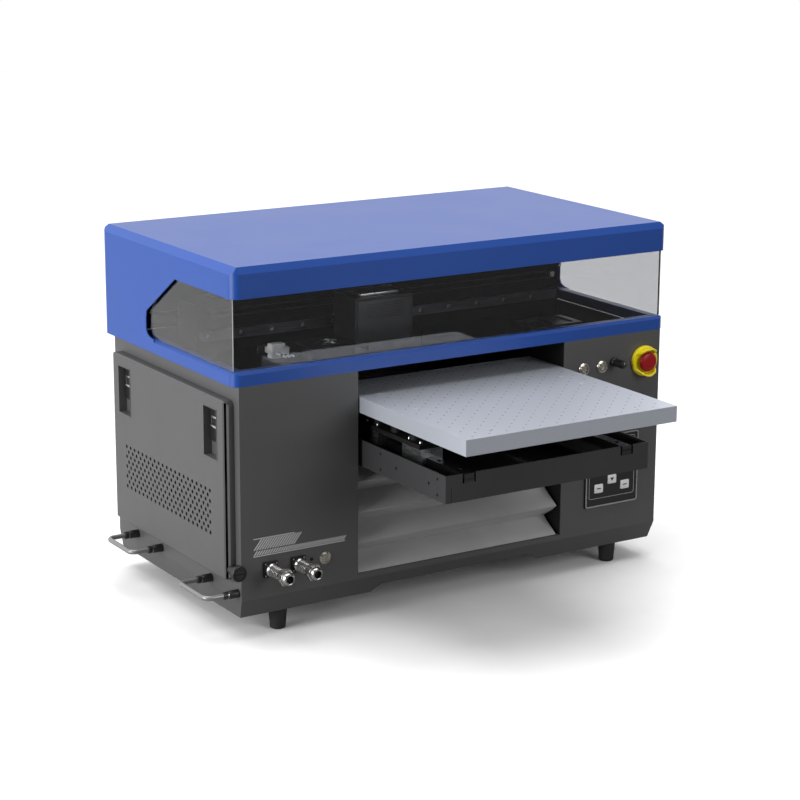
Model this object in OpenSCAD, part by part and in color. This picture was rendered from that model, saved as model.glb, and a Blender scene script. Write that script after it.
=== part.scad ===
// Flatbed UV printer. Millimetres, +Z up, front faces -Y, feet on z = 0.
// Lengths along X are measured from the cabinet's centreline, along Y from its front face.

/* [Cabinet] */
// Width of the cabinet
cab_w = 900; // [880:1:940]
// Depth of the cabinet
cab_d = 491; // [480:1:520]
// Height of the cabinet's top edge above the floor
cab_top = 452; // [446:1:470]
// Height of the cabinet's bottom edge above the floor
cab_bottom = 38; // [34:1:44]
// Height of the tapered skirt
skirt_h = 34; // [28:1:38]
// Sheet metal thickness
sheet = 2; // [1.5:0.5:2.5]

/* [Bed opening] */
// Left side of the opening
open_l = -216; // [-224:1:-214]
// Right side of the opening
open_r = 227; // [225:1:235]
// Bottom of the opening above the floor
open_z = 81; // [76:1:84]

/* [Hood] */
// How far the hood stands proud of the cabinet on each side
hood_over = 10; // [7:1:12]
// Depth of the hood
hood_d = 516; // [514:1:540]
// Height of the lower band
band_h = 25; // [22:1:28]
// Height of the window above the band
window_h = 125; // [118:1:130]
// Height of the fascia and its bevel above the window
cap_h = 54; // [48:1:64]

/* [Bed] */
// Width of the bed plate
bed_w = 436; // [420:1:437]
// Length of the bed plate
bed_l = 440; // [400:1:442]
// Thickness of the bed plate
bed_t = 28; // [20:1:29]
// How far the bed's front edge stands in front of the cabinet
bed_out = 333; // [330:1:336]
// Height of the bed's top face
bed_z = 405; // [404:1:406]

/* [Service panel] */
// How far the panel stands out of the cabinet's side
panel_t = 18; // [15:1:20]
// Height of the panel's bottom edge
panel_z = 106; // [104:1:110]
// Height of the panel
panel_h = 319; // [312:1:325]

/* [Hidden] */
$fn = 48;

cab_x = cab_w / 2;
knee_z = cab_bottom + skirt_h;
skirt_front = 13;
skirt_side = 4;
floor_z = 54;
pan_t = 3;
open_c = (open_l + open_r) / 2;
hood_x = cab_x + hood_over;
band_top = cab_top + band_h;
window_top = band_top + window_h;
hood_top = window_top + cap_h;
hood_bevel_x = 12;
hood_bevel_y = 7.5;
hood_bevel_z = 12;
hood_corner = 17;
hinge_y = 503;
hinge_z = 446;
bed_front = -bed_out;
bed_bottom = bed_z - bed_t;
tray_front = -265;
tray_rear = 400;
tray_z0 = 278;
tray_z1 = 326;
tray_half = 212;
rail_off = 165;
rail_w = 20;
rail_z0 = 309;
rail_z1 = 325;
screw_y = 190;
screw_dx = 30;
guide_dy = 25;
guide_r = 8;
lift_r = 6;
run_fit = 0.05;
beam_y = 200;
beam_z = 466;
rail_z = 500;
beam_end = 354;
idler_x = -402;
carriage_x = -105;
lamp_x = -258;
lamp_w = 90;
pulley_x = 330;
pulley_z = 538.75;
panel_y0 = 27;
panel_y1 = 461;
panel_bevel = 8;
pocket_w = 47;
pocket_z0 = 316;
pocket_z1 = 404;
pocket_y = [73, 415];
handle_y = [13, 310];
handle_gap = 100;
handle_z = 84;
handle_out = 62;
handle_in = 50;
handle_r = 4.5;
sleeve_r = 7.5;
sleeve_l = 30;
foot_x = 362;
foot_pin = 4.2;
foot_y = [32, 440];
// The part's own origin is midway between its left and right reach, and its front and rear reach
place_x = handle_in / 2;
place_y = (bed_out - hood_d) / 2;

// ---- general helpers ----
module placed() translate([place_x, place_y, 0]) children();
module box(a, b) translate(a) cube(b - a);
// Extrude a profile drawn as [y, z] along X from x0 to x1
module along_x(x0, x1) translate([x0, 0, 0]) rotate([90, 0, 90]) linear_extrude(x1 - x0) children();
// Extrude a profile drawn as [x, z] along Y from y0 to y1
module along_y(y0, y1) translate([0, y1, 0]) rotate([90, 0, 0]) linear_extrude(y1 - y0) children();
// Cylinders between two stations on one axis
module rod_x(x0, x1, y, z, r) translate([x0, y, z]) rotate([0, 90, 0]) cylinder(h = x1 - x0, r = r);
module rod_y(y0, y1, x, z, r) translate([x, y1, z]) rotate([90, 0, 0]) cylinder(h = y1 - y0, r = r);
module rod_z(z0, z1, x, y, r) translate([x, y, z0]) cylinder(h = z1 - z0, r = r);

// ---- cabinet shell ----
// Outer form of the cabinet, drawn in by t on every side
module cabinet_form(t, z0 = cab_bottom, z1 = cab_top) {
  sf = skirt_front;
  ss = skirt_side;
  intersection() {
    along_x(-cab_x, cab_x) polygon([
      [t, z1], [t, knee_z], [t + sf, z0], [cab_d - t - ss, z0], [cab_d - t, knee_z], [cab_d - t, z1]]);
    along_y(0, cab_d) polygon([
      [-cab_x + t, z1], [-cab_x + t, knee_z], [-cab_x + t + ss, z0],
      [cab_x - t - ss, z0], [cab_x - t, knee_z], [cab_x - t, z1]]);
  }
}

// Everything in front of the front sheet's inner face
module front_zone(t) along_x(-cab_x - 1, cab_x + 1) polygon([
  [-1, cab_top + 1], [t, cab_top + 1], [t, knee_z], [t + skirt_front, cab_bottom], [-1, cab_bottom]]);

// Everything behind the rear sheet's inner face
module rear_zone(t) along_x(-cab_x - 1, cab_x + 1) polygon([
  [cab_d + 1, cab_top + 1], [cab_d - t, cab_top + 1], [cab_d - t, knee_z],
  [cab_d - t - skirt_side, cab_bottom], [cab_d + 1, cab_bottom]]);

// The raised notch under the front and rear skirts
module notch_cut(y0, y1) along_y(y0, y1) polygon([
  [-185, cab_bottom - 1], [-184, cab_bottom], [-162, cab_bottom + 14], [162, cab_bottom + 14],
  [184, cab_bottom], [185, cab_bottom - 1]]);

module front_panel() color("dimgray") difference() {
  union() {
    intersection() { cabinet_form(0); front_zone(sheet); }
    box([open_l, 0, open_z - 3], [open_r, 14, open_z]);
  }
  box([open_l, -1, open_z], [open_r, sheet + 1, cab_top + 1]);
  notch_cut(-1, 40);
  for (x = [-394, -339]) rod_y(-1, 3, x, 122.5, 10.4);
  rod_y(-1, 3, -311, 125.5, 3);
  rod_y(-1, 3, -283.5, 123.5, 8.1);
  for (x = [272, 314]) rod_y(-1, 3, x, 395, 9.6);
  rod_y(-1, 3, 342, 401, 5.1);
  rod_y(-1, 3, 412, 395.5, 11.1);
}

module side_wall(s) difference() {
  intersection() {
    cabinet_form(0);
    scale([s, 1, 1]) along_y(0, cab_d) polygon([
      [cab_x + 1, cab_top], [cab_x - sheet, cab_top], [cab_x - sheet, knee_z],
      [cab_x - sheet - skirt_side, cab_bottom], [cab_x + 1, cab_bottom]]);
  }
  front_zone(sheet);
  rear_zone(sheet);
  for (y = handle_y, d = [0, handle_gap]) rod_x(-cab_x - 1, cab_x + 1, y + d, handle_z, sleeve_r + 0.4);
}

module left_wall() color("dimgray") difference() {
  side_wall(-1);
  box([-cab_x - 1, 60, 140], [-cab_x + 3, 430, 300]);
  for (y = pocket_y) box([-cab_x - 1, y - 26, pocket_z0 - 4], [-cab_x + 3, y + 26, pocket_z1 + 4]);
}

module vent_holes(x0, x1) for (i = [0:20], j = [0:4]) {
  rod_x(x0, x1, 78 + i * 16.7, 179 + j * 19, 3.6);
  if (i < 20 && j < 4) rod_x(x0, x1, 78 + (i + 0.5) * 16.7, 179 + (j + 0.5) * 19, 3.6);
}

module right_wall() color("dimgray") difference() {
  side_wall(1);
  for (i = [0:9], j = [0:3]) rod_x(cab_x - 3, cab_x + 1, 245 + (i - 4.5) * 33.4, 188 + j * 19, 3.6);
}

module rear_panel() color("dimgray") difference() {
  intersection() { cabinet_form(0); rear_zone(sheet); }
  notch_cut(cab_d - 20, cab_d + 1);
  rod_y(cab_d - 10, cab_d + 1, 330, 330, 38);
  box([-364, cab_d - 3, 140], [-316, cab_d + 1, 168]);
}

module cheek(x) difference() {
  intersection() {
    cabinet_form(sheet);
    box([x, 0, floor_z + pan_t], [x + sheet, cab_d, cab_top - 2]);
  }
  box([x - 1, screw_y - 40, 136], [x + sheet + 1, screw_y + 40, 350]);
}
module cheeks() color("black") { cheek(open_l - sheet); cheek(open_r); }

module base_pan() color("dimgray") difference() {
  intersection() { cabinet_form(sheet); box([-cab_x, 0, floor_z], [cab_x, cab_d, floor_z + pan_t]); }
  for (x = [-foot_x, foot_x], y = foot_y) rod_z(floor_z - 1, floor_z + 4, x, y, foot_pin + 0.1);
}

module deck_plate() color("black") difference() {
  box([-cab_x + sheet, sheet, cab_top - 2], [cab_x - sheet, cab_d - sheet, cab_top]);
  box([open_l + 4, 60, cab_top - 3], [open_r - 4, 430, cab_top + 1]);
}

module feet() color("black") for (x = [-foot_x, foot_x], y = foot_y) translate([x, y, 0]) difference() {
  rotate_extrude($fn = 64) polygon([
    [0, 0], [12, 0], [13.3, 0.6], [14, 2], [17, 40], [17, floor_z], [foot_pin, floor_z],
    [foot_pin, floor_z + pan_t], [0, floor_z + pan_t]]);
  translate([0, 0, -1]) cylinder(h = 9, r = 4.5);
}

// ---- front fittings ----
module cable_glands() color("silver") for (x = [-394, -339]) difference() {
  union() {
    box([x - 14, -5, 108.5], [x + 14, 0, 136.5]);
    rod_y(-46, 8, x, 122.5, 10.2);
    rod_y(-50, -46, x, 122.5, 13.5);
    rod_y(-14, -5, x, 122.5, 12.5);
    translate([x, -50, 122.5]) rotate([90, 0, 0]) cylinder(h = 10, r = 16, $fn = 6);
    rod_y(-72, -60, x, 122.5, 12.5);
  }
  rod_y(-73, 9, x, 122.5, 7);
}

module round_plug() color("tan") union() {
  rod_y(-4, 0, -283.5, 123.5, 11.8);
  rod_y(0, 10, -283.5, 123.5, 8);
}

module button_bezels() color("silver") for (x = [272, 314]) difference() {
  union() { rod_y(-4, 0, x, 395, 12); rod_y(0, 26, x, 395, 9.5); }
  rod_y(-5, 27, x, 395, 7.5);
}

module push_button(x) rod_y(-3.2, 20, x, 395, 7.2);
module start_button() color("silver") push_button(272);
module stop_button() color("silver") push_button(314);

module estop_guard() color("gold") translate([412, 0, 395.5]) difference() {
  union() { rod_y(-7, 0, 0, 0, 29); rod_y(-24, -7, 0, 0, 27); rod_y(0, 24, 0, 0, 11); }
  rod_y(-25, -7, 0, 0, 23.5);
  rod_y(-8, 25, 0, 0, 8);
  for (s = [-1, 1]) scale([s, 1, 1]) along_y(-25, -9) polygon([[0, 0], [30, 17], [30, -17]]);
}

module estop_button() color("red") translate([412, 0, 395.5]) union() {
  rod_y(-20, -12.5, 0, 0, 19);
  rod_y(-12.5, 18, 0, 0, 7.7);
}

module selector_knob() color("black") translate([342, 0, 401]) union() {
  rod_y(-33, -4, 0, 0, 8);
  rod_y(-4, -0.3, 0, 0, 9.5);
  rod_y(-0.3, 12, 0, 0, 5);
}

module keypad() color("black") difference() {
  box([281, -4, 124], [403, 0, 263]);
  for (k = key_places) box([k[0] - 10.3, -5, k[1] - 8.8], [k[0] + 10.3, -1.6, k[1] + 8.8]);
}
key_places = [[311.5, 159.5], [342.5, 174], [373, 159.5], [342.5, 204]];
module key(i) color("white") box([key_places[i][0] - 10, -5, key_places[i][1] - 8.5],
                               [key_places[i][0] + 10, -2.6, key_places[i][1] + 8.5]);
module key_up() key(3);
module key_down() key(1);
module key_left() key(0);
module key_right() key(2);

// ---- rear fittings ----
module rear_inlet() color("black") difference() {
  union() {
    box([-370, cab_d, 134], [-310, cab_d + 3, 174]);
    box([-364, cab_d - 24, 140], [-316, cab_d, 168]);
  }
  box([-360, cab_d - 18, 143], [-337, cab_d + 4, 165]);
}
module rear_fan_frame() color("black") translate([330, 0, 330]) {
  difference() {
    box([-40, cab_d - 27, -40], [40, cab_d - sheet, 40]);
    rod_y(cab_d - 28, cab_d, 0, 0, 37);
  }
  box([-38, cab_d - 5, -4], [38, cab_d - sheet, 4]);
  rod_y(cab_d - 26, cab_d - 4, 0, 0, 3);
}
// A hub and blades around an axle of radius axle
module fan_rotor(r, h, axle) difference() {
  union() {
    cylinder(h = h, r = r * 0.38);
    fan_blades(r, h);
  }
  translate([0, 0, -1]) cylinder(h = h + 2, r = axle + run_fit);
}
module fan_blades(r, h) {
  for (a = [0:8]) rotate([0, 0, a * 40]) translate([r * 0.3, -1, 1]) rotate([18, 0, 0])
    cube([r * 0.62, 2, h - 4]);
}
module rear_fan_rotor() color("black") translate([330, cab_d - 6, 330]) rotate([90, 0, 0]) fan_rotor(37, 18, 3);

module hood_hinges() color("silver") for (x = [-300, 300]) {
  box([x - 40, cab_d, hinge_z - 46], [x + 40, cab_d + 2, hinge_z - 4]);
  for (s = [-1, 1]) {
    rod_x(x + s * 27 - 12, x + s * 27 + 12, hinge_y, hinge_z, 5);
    box([x + s * 27 - 12, cab_d, hinge_z - 5], [x + s * 27 + 12, hinge_y, hinge_z - 1]);
  }
  rod_x(x - 30, x + 30, hinge_y, hinge_z, 3);
}

// ---- machinery on the base ----
module lift_guides() color("silver") for (x = [open_l - screw_dx, open_r + screw_dx], s = [-1, 1]) {
  rod_z(floor_z + pan_t, 420, x, screw_y + s * guide_dy, guide_r);
  box([x - 12, screw_y + s * guide_dy - 12, 420], [x + 12, screw_y + s * guide_dy + 12, 432]);
  side = x < 0 ? 1 : -1;
  box([min(x, x + side * 28), screw_y + s * guide_dy - 12, 420],
      [max(x, x + side * 28), screw_y + s * guide_dy + 12, 426]);
}

module lift_screw(x) union() {
  rod_z(floor_z + pan_t + 1, 368, x, screw_y, lift_r);
  rod_z(64, 78, x, screw_y, 14);
}
module lift_screw_left() color("silver") lift_screw(open_l - screw_dx);
module lift_screw_right() color("silver") lift_screw(open_r + screw_dx);

module motor(w, l) union() {
  translate([-w / 2, -w / 2, 0]) cube([w, w, l]);
  translate([0, 0, l]) cylinder(h = 2, r = w * 0.36);
}
module drive_motors() color("black") {
  translate([330, 300, floor_z + pan_t]) motor(57, 70);
  translate([pulley_x, beam_y + 114, pulley_z]) rotate([90, 0, 0]) motor(42, 42);
}

module gantry_beam() color("black") {
  difference() {
    box([-424, beam_y, beam_z], [beam_end, beam_y + 70, beam_z + 90]);
    rod_y(beam_y - 1, beam_y + 71, pulley_x, pulley_z, 4 + run_fit);
  }
  for (x = [-424, beam_end - 40]) box([x, beam_y, cab_top], [x + 40, beam_y + 70, beam_z]);
  rod_y(beam_y - 15, beam_y, idler_x, pulley_z, 5.2);
}

module gantry_rail() color("dimgray") difference() {
  box([-420, beam_y - 14, rail_z - 9], [340, beam_y, rail_z + 9]);
  for (i = [0:11]) rod_y(beam_y - 15, beam_y - 8, -408 + i * 62.7, rail_z, 4.5);
}

module carriage_belt() color("black") union() {
  for (z = [532, 544]) box([idler_x, beam_y - 14, z], [pulley_x, beam_y - 6, z + 1.5]);
}

module carriage_pulley() color("silver") union() {
  rod_y(beam_y - 15, beam_y - 3, pulley_x, pulley_z, 5.2);
  rod_y(beam_y - 3, beam_y + 69, pulley_x, pulley_z, 4);
}

module ink_manifold() color("white") translate([lamp_x - 63, 119, 462]) {
  cube([27, 18, 26]);
  translate([27, 2, 3]) cube([9, 14, 15]);
  translate([12, 18, 2]) cube([8, 31, 10]);
  for (i = [0:2]) translate([11 + i * 8, -30, 8]) rotate([-90, 0, 0]) cylinder(h = i < 2 ? 30 : 32, r = 2.2);
}

module cap_tray() color("black") difference() {
  box([240, 112, cab_top], [350, 184, cab_top + 5]);
  for (x = [252, 300]) box([x, 122, cab_top + 2], [x + 38, 174, cab_top + 6]);
}

module ink_bottles() color("black") for (i = [0:3]) translate([-420 + i * 48, 350, floor_z + pan_t]) {
  cylinder(h = 120, r = 21);
  translate([0, 0, 120]) cylinder(h = 18, r = 13);
}

module control_box() color("silver") box([open_r + sheet, 300, 110], [open_r + sheet + 44, 470, 290]);

// ---- lift ----
// Zig-zag curtain between the opening's bottom and the lift frame
bellows_n = 7;
bellows_h = (tray_z0 - open_z - 1) / bellows_n;
bellows_front = 5;
bellows_back = 46;
function bellows_y(i) = i % 2 == 0 ? bellows_front : bellows_back;
module bellows() color("gray") along_x(open_l + 1, open_r - 6) polygon(concat(
  [for (i = [0:bellows_n]) [bellows_y(i), open_z + 0.5 + i * bellows_h]],
  [for (i = [bellows_n:-1:0]) [bellows_y(i) + 2.4, open_z + 0.5 + i * bellows_h]]));

module lift_frame() color("dimgray") {
  difference() {
    box([open_c - tray_half, tray_front, tray_z0], [open_c + tray_half, tray_rear, tray_z1]);
    box([open_c - tray_half + 2, tray_front + 2, tray_z0 + 2],
        [open_c + tray_half - 2, tray_rear - 2, tray_z1 + 1]);
    for (s = [-1, 1]) box([open_c + s * rail_off - 13.5, tray_front - 1, tray_z1 - 17],
                          [open_c + s * rail_off + 13.5, tray_front + 3, tray_z1 + 1]);
    for (y = [-213, -110], s = [-1, 1])
      rod_x(open_c + s * tray_half - 3, open_c + s * tray_half + 3, y, 302, 2.6);
    rod_y(tray_rear - 3, tray_rear + 1, open_c, 303, 9);
  }
  for (s = [-1, 1]) lift_arm(s);
}
module tray_bearers() color("dimgray") {
  for (y = [-215, 70, 350])
    box([open_c - tray_half + 2, y, tray_z0 + 2], [open_c + tray_half - 2, y + 26, rail_z0 - 17]);
  for (s = [-1, 1]) box([open_c + s * rail_off - 10, tray_front + 2, rail_z0 - 17],
                        [open_c + s * rail_off + 10, tray_rear - 4, rail_z0]);
  difference() {
    box([open_c - 15, tray_front + 6, tray_z0 + 2], [open_c + 15, tray_front + 26, 316]);
    rod_y(tray_front, tray_front + 30, open_c, 303, lift_r + run_fit);
  }
}
module lift_arm(s) {
  x_in = open_c + s * tray_half;
  x_nut = s < 0 ? open_l - screw_dx : open_r + screw_dx;
  difference() {
    union() {
      box([min(x_in, x_nut + s * 18), screw_y - 38, 288], [max(x_in, x_nut + s * 18), screw_y + 38, 300]);
      rod_z(300, 310, x_nut, screw_y, 14);
    }
    for (d = [-1, 1]) rod_z(287, 311, x_nut, screw_y + d * guide_dy, guide_r + run_fit);
    rod_z(287, 311, x_nut, screw_y, lift_r + run_fit);
  }
}

module bed_rails() color("black") for (s = [-1, 1]) difference() {
  box([open_c + s * rail_off - rail_w / 2, tray_front, rail_z0],
      [open_c + s * rail_off + rail_w / 2, tray_rear - 4, rail_z1]);
  for (i = [0:10]) rod_z(rail_z1 - 6, rail_z1 + 1, open_c + s * rail_off, -235 + i * 60, 4.5);
}

module bed_motor() color("black") translate([open_c, tray_rear + 2, 303]) union() {
  translate([-24, 0, -24]) cube([48, 50, 48]);
  rotate([90, 0, 0]) cylinder(h = 2, r = 19);
}

module bed_plate() color("lightsteelblue") difference() {
  box([open_c - bed_w / 2, bed_front, bed_bottom], [open_c + bed_w / 2, bed_front + bed_l, bed_z]);
  for (x = [-150, 150], y = [bed_front + 30, bed_front + bed_l - 30])
    rod_z(bed_z - 12, bed_z + 1, open_c + x, y, 2.1);
}

block_y = [-150, -10];
module bed_blocks() color("silver") for (s = [-1, 1], y = block_y) difference() {
  box([open_c + s * rail_off - 22, y, rail_z0 + 5], [open_c + s * rail_off + 22, y + 60, 341]);
  box([open_c + s * rail_off - rail_w / 2 - 0.4, y - 1, rail_z0 + 4],
      [open_c + s * rail_off + rail_w / 2 + 0.4, y + 61, rail_z1 + 0.4]);
}

module bed_cradle() color("dimgray") {
  difference() {
    union() {
      box([open_c - 190, -150, 341], [open_c + 190, 50, 349]);
      box([open_c - 18, -70, 293], [open_c + 18, -30, 341]);
    }
    rod_y(-71, -29, open_c, 303, lift_r + run_fit);
  }
  for (s = [-1, 1], y = [-110, -50, 10]) rod_z(349, bed_bottom, open_c + s * 172, y, 12);
}

module bed_drive_screw() color("silver") union() {
  rod_y(tray_front + 7, tray_rear - 5, open_c, 303, lift_r);
  rod_y(tray_rear - 14, tray_rear - 5, open_c, 303, 11);
}

// ---- print carriage ----
module carriage() color("dimgray") difference() {
  union() {
    box([carriage_x - 40, 172, rail_z - 16], [carriage_x + 40, beam_y - 2, rail_z + 16]);
    box([carriage_x - 20, 172, rail_z + 16], [carriage_x + 20, beam_y - 6, 531.5]);
    box([carriage_x - 60, 168, 462], [carriage_x + 60, 172, 560]);
    box([lamp_x - 64, 168, 462], [carriage_x - 60, 172, 476]);
  }
  box([carriage_x - 41, beam_y - 14.4, rail_z - 9.4], [carriage_x + 41, beam_y, rail_z + 9.4]);
}
module print_head() color("black") union() {
  box([carriage_x - 60, 96, 470], [carriage_x + 60, 168, 556]);
  box([carriage_x - 26, 106, 458], [carriage_x + 26, 156, 470]);
}
fan_x = lamp_x + 58;
fan_y = 126;
module uv_lamp() color("black") {
  difference() {
    box([lamp_x, 92, 459], [lamp_x + lamp_w, 168, 478]);
    rod_z(468, 479, fan_x, fan_y, 20);
  }
  rod_z(468, 477, fan_x, fan_y, 1.5);
}
module lamp_fan() color("black") translate([fan_x, fan_y, 468.6]) fan_rotor(20.5, 8, 1.5);

// ---- hood ----
// The hood's plan with its rounded upright corners, drawn in by t
module hood_plan(t, z0, z1) {
  x = hood_x - t;
  r = hood_corner - t;
  box([-x + r, t, z0], [x - r, hood_d - t, z1]);
  box([-x, hood_corner, z0], [x, hood_d - hood_corner, z1]);
  for (s = [-1, 1], y = [hood_corner, hood_d - hood_corner]) rod_z(z0, z1, s * (x - r), y, r);
}
// The plan with a bevelled top, bevel being its width across X and Y and its height
module hood_form(t, z0, z1, bevel) intersection() {
  x = hood_x - t;
  y0 = t;
  y1 = hood_d - t;
  zb = z1 - bevel.z;
  hood_plan(t, z0, z1);
  along_x(-x, x) polygon([[y0, z0], [y0, zb], [y0 + bevel.y, z1], [y1 - bevel.y, z1], [y1, zb], [y1, z0]]);
  along_y(y0, y1) polygon([[-x, z0], [-x, zb], [-x + bevel.x, z1], [x - bevel.x, z1], [x, zb], [x, z0]]);
}

// Side view of the window, from the hood's front to its rounded rear edge
module window_outline(z0) polygon([
  [-1, z0], [-1, window_top], [215, window_top], [331, 526], [334, 514], [334, 492], [330, 484],
  [320, 479], [304, band_top], [304, z0]]);

module hood_shell() color("royalblue") {
  difference() {
    hood_form(0, cab_top, hood_top, [hood_bevel_x, hood_bevel_y, hood_bevel_z]);
    hood_form(2, cab_top - 1, hood_top - 2, [hood_bevel_x, hood_bevel_y, hood_bevel_z]);
    along_x(-hood_x - 1, hood_x + 1) window_outline(cab_top - 2);
  }
  difference() {
    hood_form(0, cab_top, band_top, [8, 5, 5]);
    hood_form(2, cab_top - 1, band_top - 2, [7, 4, 4]);
    box([-hood_x + 24, 22, cab_top], [hood_x - 24, hood_d - 22, band_top + 1]);
  }
  difference() {
    hood_plan(1, cab_top, cab_top + 2);
    box([-cab_x - 1, -1, cab_top - 1], [cab_x + 1, cab_d + 1, cab_top + 3]);
  }
  for (x = [-300, 300]) difference() {
    union() {
      box([x - 13, hood_d - 5, hinge_z + 2], [x + 13, hood_d - 2, band_top - 2]);
      box([x - 13, hinge_y, hinge_z - 2], [x + 13, hood_d - 2, hinge_z + 4]);
      rod_x(x - 13, x + 13, hinge_y, hinge_z, 5);
    }
    rod_x(x - 14, x + 14, hinge_y, hinge_z, 3 + run_fit);
  }
}

pane_side = 5.2;
pane_front = 11;
pane_t = 3;
module window() color([0.1, 0.1, 0.12, 0.6]) difference() {
  x = hood_x - pane_side;
  box([-x, pane_front, band_top], [x, 344, window_top + 10]);
  box([-x + pane_t, pane_front + pane_t, band_top - 1], [x - pane_t, 345, window_top + 11]);
  along_x(-hood_x, hood_x) polygon([[232, 620], [350, 500], [350, 620]]);
}

// ---- left service panel ----
// A slab square to X with its four corners rounded
module rounded_slab(x0, x1, y, z, r) {
  box([x0, y[0] + r, z[0]], [x1, y[1] - r, z[1]]);
  box([x0, y[0], z[0] + r], [x1, y[1], z[1] - r]);
  for (v = [y[0] + r, y[1] - r], w = [z[0] + r, z[1] - r]) rod_x(x0, x1, v, w, r);
}
module panel_hinge() for (y = [60, 380]) {
  rod_y(y, y + 30, -cab_x - 3.2, panel_z - 1.6, 2.4);
}
module service_panel() color("dimgray") union() { panel_hinge(); panel_body(); }
module panel_body() difference() {
  intersection() {
    rounded_slab(-cab_x - panel_t - 1, -cab_x, [panel_y0 - panel_bevel, panel_y1 + panel_bevel],
                 [panel_z, panel_z + panel_h], 11);
    x1 = -cab_x - panel_t;
    x0 = -cab_x - 0.6;
    b = panel_bevel;
    z0 = panel_z;
    z1 = panel_z + panel_h;
    translate([0, 0, z0]) linear_extrude(z1 - z0) polygon([
      [x0, panel_y0 - b], [x1 + b, panel_y0 - b], [x1, panel_y0],
      [x1, panel_y1], [x1 + b, panel_y1 + b], [x0, panel_y1 + b]]);
    along_y(panel_y0 - b, panel_y1 + b) polygon([
      [x0, z0], [x1 + 3, z0], [x1, z0 + 3], [x1, z1 - 3], [x1 + 3, z1], [x0, z1]]);
  }
  difference() {
    box([-cab_x - panel_t + 2, panel_y0 - panel_bevel + 3, panel_z + 3],
        [-cab_x, panel_y1 + panel_bevel - 3, panel_z + panel_h - 3]);
    for (y = pocket_y) box([-cab_x - 30, y - pocket_w / 2 - 2, pocket_z0 - 2],
                           [-cab_x + 1, y + pocket_w / 2 + 2, pocket_z1 + 2]);
  }
  for (y = pocket_y) box([-cab_x - panel_t - 1, y - pocket_w / 2, pocket_z0],
                         [-cab_x - 3, y + pocket_w / 2, pocket_z1]);
  vent_holes(-cab_x - panel_t - 1, -cab_x - panel_t + 3);
  rod_y(panel_y0 - panel_bevel - 1, panel_y0, -cab_x - 9, 127, 4.05);
}

module slide_latch(y) difference() {
  box([-cab_x - 9, y - 20, 342], [-cab_x - 4, y + 20, 398]);
  box([-cab_x - 10, y - 11, 366], [-cab_x - 6, y + 11, 387]);
}
module latch_front() color("lightgray") slide_latch(pocket_y[0]);
module latch_rear() color("lightgray") slide_latch(pocket_y[1]);

module lock_knob() color("black") difference() {
  union() {
    rod_y(-13.5, -3, -cab_x - 9, 127, 14.2);
    rod_y(-3, panel_y0 - panel_bevel - 0.4, -cab_x - 9, 127, 8);
    rod_y(panel_y0 - panel_bevel - 0.4, panel_y0 + 4, -cab_x - 9, 127, 4);
  }
  box([-cab_x - 21, -14, 125.4], [-cab_x + 3, -10.5, 128.6]);
}

// ---- carrying handles ----
// A drawn-out U handle on the left side, moved by shift towards the cabinet
module handle(y, shift) {
  x0 = -cab_x + 30;
  x1 = -cab_x - handle_out + 12;
  translate([shift, y, handle_z]) union() {
    for (d = [0, handle_gap]) {
      rod_x(x1, x0, d, 0, handle_r);
      rod_x(-cab_x - sleeve_l, -cab_x + 2, d, 0, sleeve_r);
    }
    translate([x1 - 12, 12, 0]) rotate([-90, 0, 0]) cylinder(h = handle_gap - 24, r = handle_r);
    translate([x1, 12, 0]) rotate([0, 0, 180]) rotate_extrude(angle = 90) translate([12, 0]) circle(r = handle_r);
    translate([x1, handle_gap - 12, 0]) rotate([0, 0, 90]) rotate_extrude(angle = 90)
      translate([12, 0]) circle(r = handle_r);
  }
}
module handle_left_front() color("gray") handle(handle_y[0], 0);
module handle_left_rear() color("gray") handle(handle_y[1], 0);
module handle_right_front() color("gray") mirror([1, 0, 0]) handle(handle_y[0], handle_in);
module handle_right_rear() color("gray") mirror([1, 0, 0]) handle(handle_y[1], handle_in);

placed() base_pan();
placed() front_panel();
placed() left_wall();
placed() right_wall();
placed() rear_panel();
placed() cheeks();
placed() deck_plate();
placed() feet();
placed() cable_glands();
placed() round_plug();
placed() button_bezels();
placed() estop_guard();
placed() keypad();
placed() lift_guides();
placed() drive_motors();
placed() gantry_beam();
placed() gantry_rail();
placed() carriage_belt();
placed() ink_manifold();
placed() cap_tray();
placed() ink_bottles();
placed() control_box();
placed() rear_inlet();
placed() rear_fan_frame();
placed() hood_hinges();
placed() bellows();
placed() lift_frame();
placed() tray_bearers();
placed() bed_rails();
placed() bed_motor();
placed() bed_plate();
placed() bed_cradle();
placed() bed_blocks();
placed() lift_screw_left();
placed() lift_screw_right();
placed() bed_drive_screw();
placed() carriage();
placed() print_head();
placed() uv_lamp();
placed() lamp_fan();
placed() carriage_pulley();
placed() hood_shell();
placed() window();
placed() service_panel();
placed() latch_front();
placed() latch_rear();
placed() lock_knob();
placed() handle_left_front();
placed() handle_left_rear();
placed() handle_right_front();
placed() handle_right_rear();
placed() estop_button();
placed() start_button();
placed() stop_button();
placed() selector_knob();
placed() key_up();
placed() key_down();
placed() key_left();
placed() key_right();
placed() rear_fan_rotor();
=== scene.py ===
"""Looks of the flatbed UV printer: finishes for the machine's sheet parts, and its fittings in detail."""

import bmesh
import bpy
import math
from mathutils import Matrix, Vector


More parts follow.
